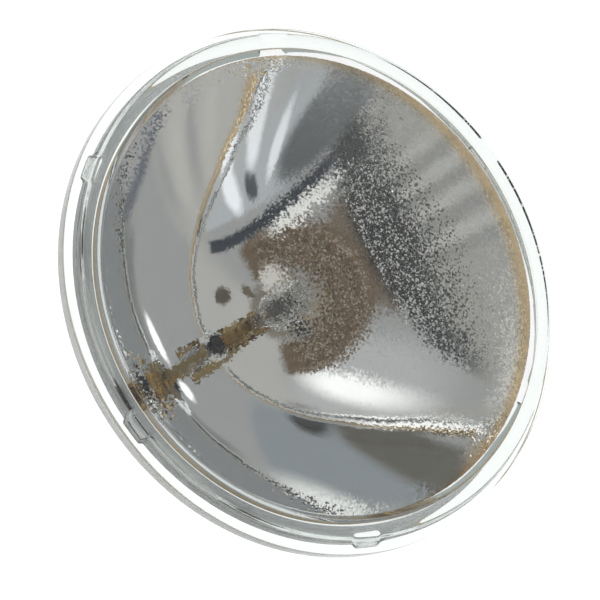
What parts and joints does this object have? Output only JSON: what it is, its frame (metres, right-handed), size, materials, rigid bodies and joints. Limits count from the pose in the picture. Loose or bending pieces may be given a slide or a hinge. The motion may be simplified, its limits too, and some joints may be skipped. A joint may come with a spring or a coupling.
{
  "type": "par spotlight bulb",
  "caption": "Sealed-beam spotlight bulb: pressed glass reflector and stippled domed lens fused at the rim, axial halogen capsule inside, ceramic end-prong base behind.",
  "frame": {"origin": "on the optical axis, at the middle of the flange's outer land, where a holder's ring grips the rim", "axes": "+Z is the optical axis, out through the lens; X runs through the two contact blades"},
  "size_m": [0.2032, 0.2032, 0.152],
  "materials": {
    "lens_glass": "clear pressed borosilicate, stippled inside",
    "mirror_glass": "pressed borosilicate, aluminised inside",
    "quartz": "clear fused quartz",
    "tungsten": "drawn tungsten",
    "molybdenum": "bright molybdenum",
    "holder_metal": "straw-tinted sheet",
    "ferrule_metal": "oxidised nickel iron",
    "tube_glass": "clear glass tube",
    "wire_metal": "nickel wire",
    "steatite": "unglazed pressed steatite",
    "cement": "dry basing cement",
    "blade_metal": "nickel plated strip"
  },
  "bodies": {
    "root": {"lens": "lens_glass", "reflector": "mirror_glass", "burner_envelope": "quartz", "filament": "tungsten", "inner_lead_short": "tungsten", "inner_lead_long": "tungsten", "foil_left": "molybdenum", "foil_right": "molybdenum", "outer_pin_left": "molybdenum", "outer_pin_right": "molybdenum", "holder_left": "holder_metal", "holder_right": "holder_metal", "ferrule_left": "ferrule_metal", "ferrule_right": "ferrule_metal", "exhaust_tube": "tube_glass", "lead_wire_left": "wire_metal", "lead_wire_right": "wire_metal", "ceramic_base": "steatite", "base_cement": "cement", "blade_left": "blade_metal", "blade_right": "blade_metal", "blade_rivets": "blade_metal"}
  },
  "joints": []
}
